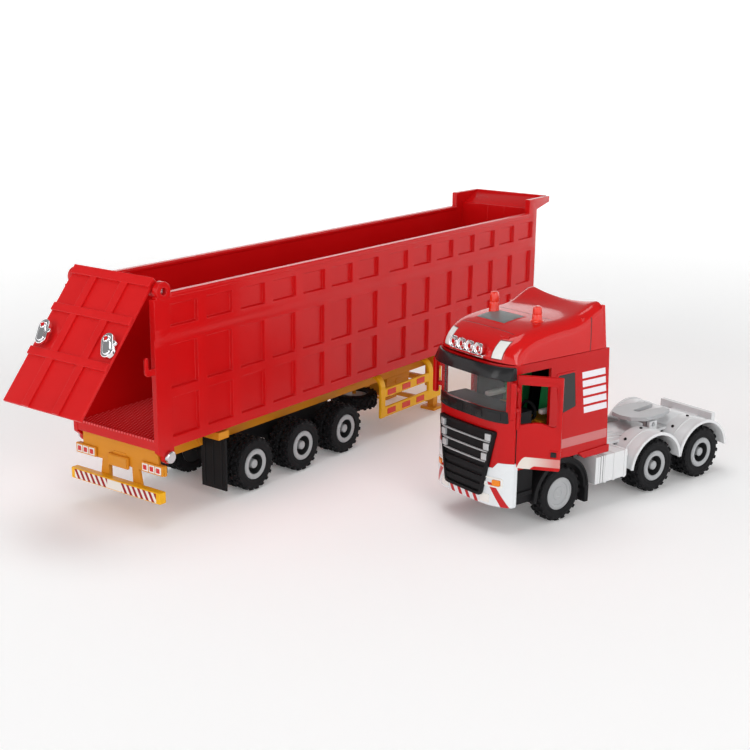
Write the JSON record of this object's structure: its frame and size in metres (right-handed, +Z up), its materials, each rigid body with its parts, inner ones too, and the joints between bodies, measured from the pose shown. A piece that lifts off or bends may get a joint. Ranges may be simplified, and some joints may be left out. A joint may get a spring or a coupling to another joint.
{
  "type": "toy dump truck",
  "caption": "Toy articulated dump truck: a tractor unit with opening doors beside a tipping tub semi-trailer with a swinging tailgate.",
  "frame": {"origin": "on the floor, under the centre of the overall box of both vehicles", "axes": "+X from the trailer's tailgate end towards its front wall, +Y to the trailer's left, +Z up; the tractor stands on the -Y side and faces about 16 degrees off -X"},
  "size_m": [0.5514, 0.3232, 0.1649],
  "materials": {
    "red_gloss": "glossy red",
    "orange_frame": "satin orange-yellow",
    "yellow_guard": "satin yellow with red rectangles",
    "black_matte": "matt black",
    "tyre_rubber": "matt black, moulded tread",
    "rim_grey": "satin light grey",
    "silver_plastic": "satin silver-white",
    "white_plastic": "white with red warning stripes",
    "plated": "bright chrome",
    "steel_rod": "bright steel",
    "clear_plastic": "clear",
    "red_lens": "translucent red",
    "green_seat": "satin green"
  },
  "bodies": {
    "trailer": {"chassis_frame": "orange_frame", "rear_board": "orange_frame", "rear_bumper": "white_plastic", "number_plate": "orange_frame", "suspension_carrier": "black_matte", "landing_gear_frame": "orange_frame", "spare_wheel": "tyre_rubber", "toolbox": "orange_frame", "tail_lamps_left": "red_lens", "tail_lamps_right": "red_lens", "mud_flap_left": "black_matte", "mud_flap_right": "black_matte", "side_guard_left": "yellow_guard", "side_guard_right": "yellow_guard", "body_pivot_rod": "steel_rod"},
    "tub": {"dump_body": "red_gloss"},
    "gate": {"tailgate": "red_gloss", "gate_rod": "steel_rod"},
    "hook_left": {"latch_left": "plated"},
    "hook_right": {"latch_right": "plated"},
    "feet": {"landing_feet": "orange_frame"},
    "ram_tube_0": {"ram_barrel": "steel_rod"},
    "ram_tube_1": {"ram_stage_1": "steel_rod"},
    "ram_tube_2": {"ram_stage_2": "steel_rod"},
    "ram_tube_3": {"ram_rod": "steel_rod"},
    "tractor": {"tractor_chassis": "black_matte", "rear_deck": "silver_plastic", "cab_shell": "red_gloss", "windscreen": "clear_plastic", "sun_visor": "black_matte", "grille": "black_matte", "front_bumper": "white_plastic", "dashboard": "black_matte", "seat_left": "green_seat", "seat_right": "green_seat", "lamp_bar": "plated", "beacon_left": "red_lens", "beacon_right": "red_lens"},
    "left_door": {"door_left": "red_gloss"},
    "right_door": {"door_right": "red_gloss"},
    "coupling_plate": {"fifth_wheel": "silver_plastic"},
    "trailer_wheels_1": {"trailer_axle_1_wheelset": "rim_grey", "trailer_axle_1_tyre_left": "tyre_rubber", "trailer_axle_1_tyre_right": "tyre_rubber"},
    "trailer_wheels_2": {"trailer_axle_2_wheelset": "rim_grey", "trailer_axle_2_tyre_left": "tyre_rubber", "trailer_axle_2_tyre_right": "tyre_rubber"},
    "trailer_wheels_3": {"trailer_axle_3_wheelset": "rim_grey", "trailer_axle_3_tyre_left": "tyre_rubber", "trailer_axle_3_tyre_right": "tyre_rubber"},
    "tractor_wheels_1": {"tractor_axle_1_wheelset": "rim_grey", "tractor_axle_1_tyre_left": "tyre_rubber", "tractor_axle_1_tyre_right": "tyre_rubber"},
    "tractor_wheels_2": {"tractor_axle_2_wheelset": "rim_grey", "tractor_axle_2_tyre_left": "tyre_rubber", "tractor_axle_2_tyre_right": "tyre_rubber"},
    "tractor_wheels_3": {"tractor_axle_3_wheelset": "rim_grey", "tractor_axle_3_tyre_left": "tyre_rubber", "tractor_axle_3_tyre_right": "tyre_rubber"}
  },
  "joints": [
    {"name": "body_tilt", "type": "hinge", "parent": "trailer", "child": "tub", "pos_m": [-0.20766, 0.11957, 0.0469], "axis": [0, -1, 0], "range_deg": [0, 30]},
    {"name": "tailgate_swing", "type": "hinge", "parent": "tub", "child": "gate", "pos_m": [-0.20836, 0.11957, 0.1543], "axis": [0, 1, 0], "range_deg": [-40, 45]},
    {"name": "latch_left_turn", "type": "hinge", "parent": "gate", "child": "hook_left", "pos_m": [-0.24388, 0.14857, 0.12862], "axis": [0.766, 0, -0.6428], "range_deg": [-12, 118]},
    {"name": "latch_right_turn", "type": "hinge", "parent": "gate", "child": "hook_right", "pos_m": [-0.24388, 0.09057, 0.12862], "axis": [0.766, 0, -0.6428], "range_deg": [-69, 61]},
    {"name": "trailer_axle_1_spin", "type": "hinge", "parent": "trailer", "child": "trailer_wheels_1", "pos_m": [-0.12496, 0.11957, 0.0188], "axis": [0, 1, 0], "continuous": true},
    {"name": "trailer_axle_2_spin", "type": "hinge", "parent": "trailer", "child": "trailer_wheels_2", "pos_m": [-0.07346, 0.11957, 0.0188], "axis": [0, 1, 0], "continuous": true},
    {"name": "trailer_axle_3_spin", "type": "hinge", "parent": "trailer", "child": "trailer_wheels_3", "pos_m": [-0.02316, 0.11957, 0.0188], "axis": [0, 1, 0], "continuous": true},
    {"name": "landing_feet_slide", "type": "slide", "parent": "trailer", "child": "feet", "axis": [0, 0, 1], "range_m": [0, 0.012]},
    {"name": "ram_lean", "type": "hinge", "parent": "trailer", "child": "ram_tube_0", "pos_m": [0.26174, 0.11957, 0.046], "axis": [0, -1, 0], "range_deg": [0, 19.42]},
    {"name": "ram_slide_1", "type": "slide", "parent": "ram_tube_0", "child": "ram_tube_1", "axis": [0, 0, 1], "range_m": [0, 0.0802]},
    {"name": "ram_slide_2", "type": "slide", "parent": "ram_tube_1", "child": "ram_tube_2", "axis": [0, 0, 1], "range_m": [0, 0.0802]},
    {"name": "ram_slide_3", "type": "slide", "parent": "ram_tube_2", "child": "ram_tube_3", "axis": [0, 0, 1], "range_m": [0, 0.0802]},
    {"name": "tractor_drive", "type": "slide", "parent": "trailer", "child": "tractor", "axis": [-0.9608, 0.2773, 0], "range_m": [-0.05, 0.15]},
    {"name": "tractor_axle_1_spin", "type": "hinge", "parent": "tractor", "child": "tractor_wheels_1", "pos_m": [-0.03616, -0.08063, 0.0188], "axis": [-0.2773, -0.9608, 0], "continuous": true},
    {"name": "tractor_axle_2_spin", "type": "hinge", "parent": "tractor", "child": "tractor_wheels_2", "pos_m": [0.05348, -0.1065, 0.0188], "axis": [-0.2773, -0.9608, 0], "continuous": true},
    {"name": "tractor_axle_3_spin", "type": "hinge", "parent": "tractor", "child": "tractor_wheels_3", "pos_m": [0.10152, -0.12036, 0.0188], "axis": [-0.2773, -0.9608, 0], "continuous": true},
    {"name": "door_left_swing", "type": "hinge", "parent": "tractor", "child": "left_door", "pos_m": [-0.08677, -0.10307, 0.076], "axis": [0, 0, 1], "range_deg": [0, 52]},
    {"name": "door_right_swing", "type": "hinge", "parent": "tractor", "child": "right_door", "pos_m": [-0.06703, -0.03466, 0.076], "axis": [0, 0, 1], "range_deg": [0, 52]},
    {"name": "coupling_tilt", "type": "hinge", "parent": "tractor", "child": "coupling_plate", "pos_m": [0.07144, -0.11169, 0.0405], "axis": [-0.2773, -0.9608, 0], "range_deg": [-7, 10]}
  ],
  "couplings": [
    {"joint": "ram_lean", "follows": "body_tilt", "ratio": 0.6468},
    {"joint": "ram_slide_1", "follows": "body_tilt", "m_per_rad": 0.15311},
    {"joint": "ram_slide_2", "follows": "body_tilt", "m_per_rad": 0.15311},
    {"joint": "ram_slide_3", "follows": "body_tilt", "m_per_rad": 0.15311}
  ]
}
